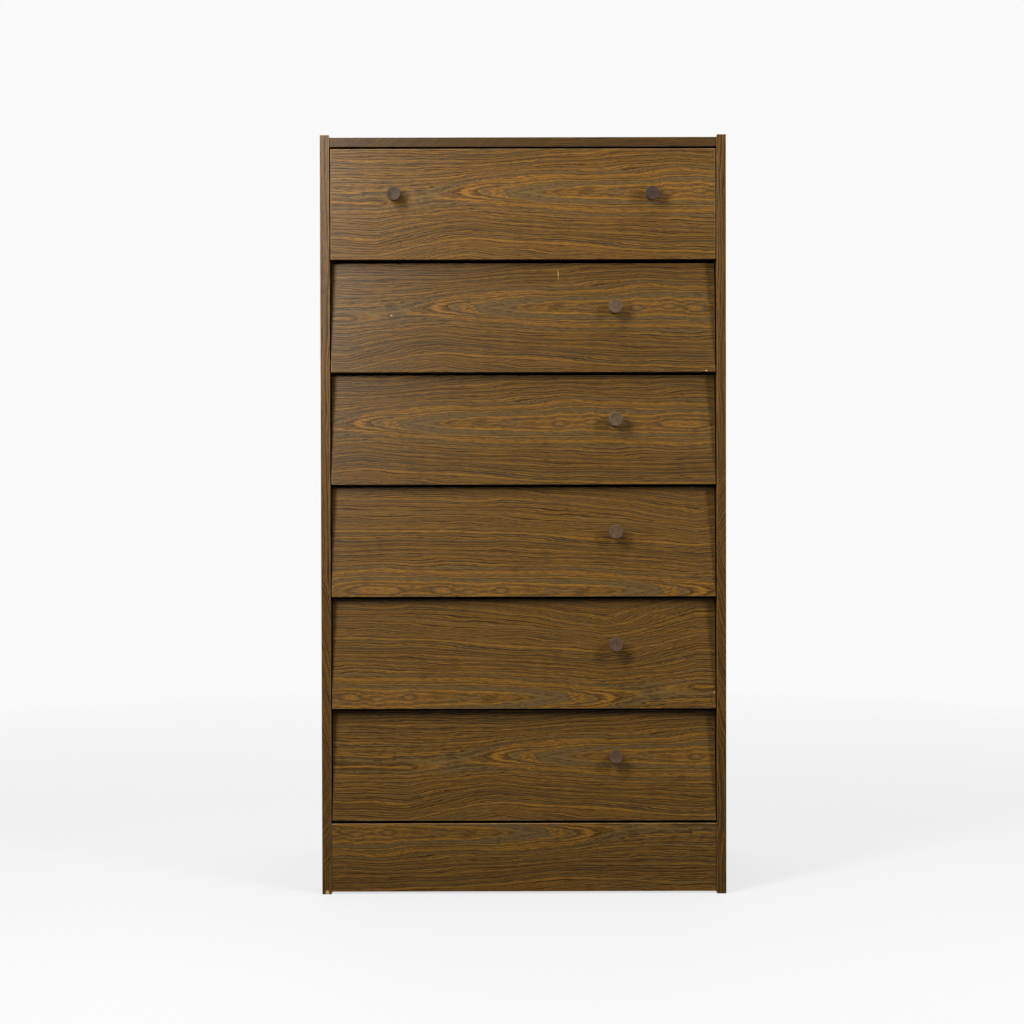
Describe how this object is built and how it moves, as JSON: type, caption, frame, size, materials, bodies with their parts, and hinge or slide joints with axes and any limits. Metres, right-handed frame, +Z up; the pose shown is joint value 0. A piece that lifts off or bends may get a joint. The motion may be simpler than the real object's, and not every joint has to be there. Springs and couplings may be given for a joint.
{
  "type": "tall chest of drawers",
  "caption": "Tall narrow chest of drawers in dark oak-grain foil on chipboard, with an upright top drawer, backward-leaning lower fronts, round knobs and a plinth.",
  "frame": {"origin": "on the floor, at the middle of the chest's footprint, knobs included", "axes": "+Z up; -Y towards the front with the drawer fronts and knobs; +X to the right seen from the front"},
  "size_m": [0.7, 0.4214, 1.312],
  "materials": {
    "foil_case": "printed oak-grain foil on chipboard, satin",
    "foil_front": "printed oak-grain foil on chipboard, satin",
    "foil_box": "light wood-grain foil on chipboard",
    "hardboard": "hardboard, smooth face",
    "brown_knob": "matt grey-brown",
    "runner_plastic": "moulded nylon",
    "zinc_screw": "zinc plated",
    "bright_nail": "bright drawn wire",
    "beech_dowel": "bare beech"
  },
  "bodies": {
    "case": {"back_panel": "hardboard", "back_panel_nails": "bright_nail", "bottom_panel": "foil_case", "case_dowels": "beech_dowel", "plinth_board": "foil_case", "runner_screws": "zinc_screw", "runners_left": "runner_plastic", "runners_right": "runner_plastic", "side_panel_left": "foil_case", "side_panel_right": "foil_case", "top_panel": "foil_case"},
    "drawer_1": {"drawer_1_back": "foil_box", "drawer_1_bottom": "hardboard", "drawer_1_dowels": "beech_dowel", "drawer_1_front": "foil_front", "drawer_1_knob_screws": "zinc_screw", "drawer_1_knobs": "brown_knob", "drawer_1_side_left": "foil_box", "drawer_1_side_right": "foil_box"},
    "drawer_2": {"drawer_2_back": "foil_box", "drawer_2_bottom": "hardboard", "drawer_2_dowels": "beech_dowel", "drawer_2_front": "foil_front", "drawer_2_knob": "brown_knob", "drawer_2_knob_screw": "zinc_screw", "drawer_2_side_left": "foil_box", "drawer_2_side_right": "foil_box"},
    "drawer_3": {"drawer_3_back": "foil_box", "drawer_3_bottom": "hardboard", "drawer_3_dowels": "beech_dowel", "drawer_3_front": "foil_front", "drawer_3_knob": "brown_knob", "drawer_3_knob_screw": "zinc_screw", "drawer_3_side_left": "foil_box", "drawer_3_side_right": "foil_box"},
    "drawer_4": {"drawer_4_back": "foil_box", "drawer_4_bottom": "hardboard", "drawer_4_dowels": "beech_dowel", "drawer_4_front": "foil_front", "drawer_4_knob": "brown_knob", "drawer_4_knob_screw": "zinc_screw", "drawer_4_side_left": "foil_box", "drawer_4_side_right": "foil_box"},
    "drawer_5": {"drawer_5_back": "foil_box", "drawer_5_bottom": "hardboard", "drawer_5_dowels": "beech_dowel", "drawer_5_front": "foil_front", "drawer_5_knob": "brown_knob", "drawer_5_knob_screw": "zinc_screw", "drawer_5_side_left": "foil_box", "drawer_5_side_right": "foil_box"},
    "drawer_6": {"drawer_6_back": "foil_box", "drawer_6_bottom": "hardboard", "drawer_6_dowels": "beech_dowel", "drawer_6_front": "foil_front", "drawer_6_knob": "brown_knob", "drawer_6_knob_screw": "zinc_screw", "drawer_6_side_left": "foil_box", "drawer_6_side_right": "foil_box"}
  },
  "joints": [
    {"name": "drawer_1_slide", "type": "slide", "parent": "case", "child": "drawer_1", "axis": [0, -1, 0], "range_m": [0, 0.26]},
    {"name": "drawer_2_slide", "type": "slide", "parent": "case", "child": "drawer_2", "axis": [0, -1, 0], "range_m": [0, 0.26]},
    {"name": "drawer_3_slide", "type": "slide", "parent": "case", "child": "drawer_3", "axis": [0, -1, 0], "range_m": [0, 0.26]},
    {"name": "drawer_4_slide", "type": "slide", "parent": "case", "child": "drawer_4", "axis": [0, -1, 0], "range_m": [0, 0.26]},
    {"name": "drawer_5_slide", "type": "slide", "parent": "case", "child": "drawer_5", "axis": [0, -1, 0], "range_m": [0, 0.26]},
    {"name": "drawer_6_slide", "type": "slide", "parent": "case", "child": "drawer_6", "axis": [0, -1, 0], "range_m": [0, 0.26]}
  ]
}
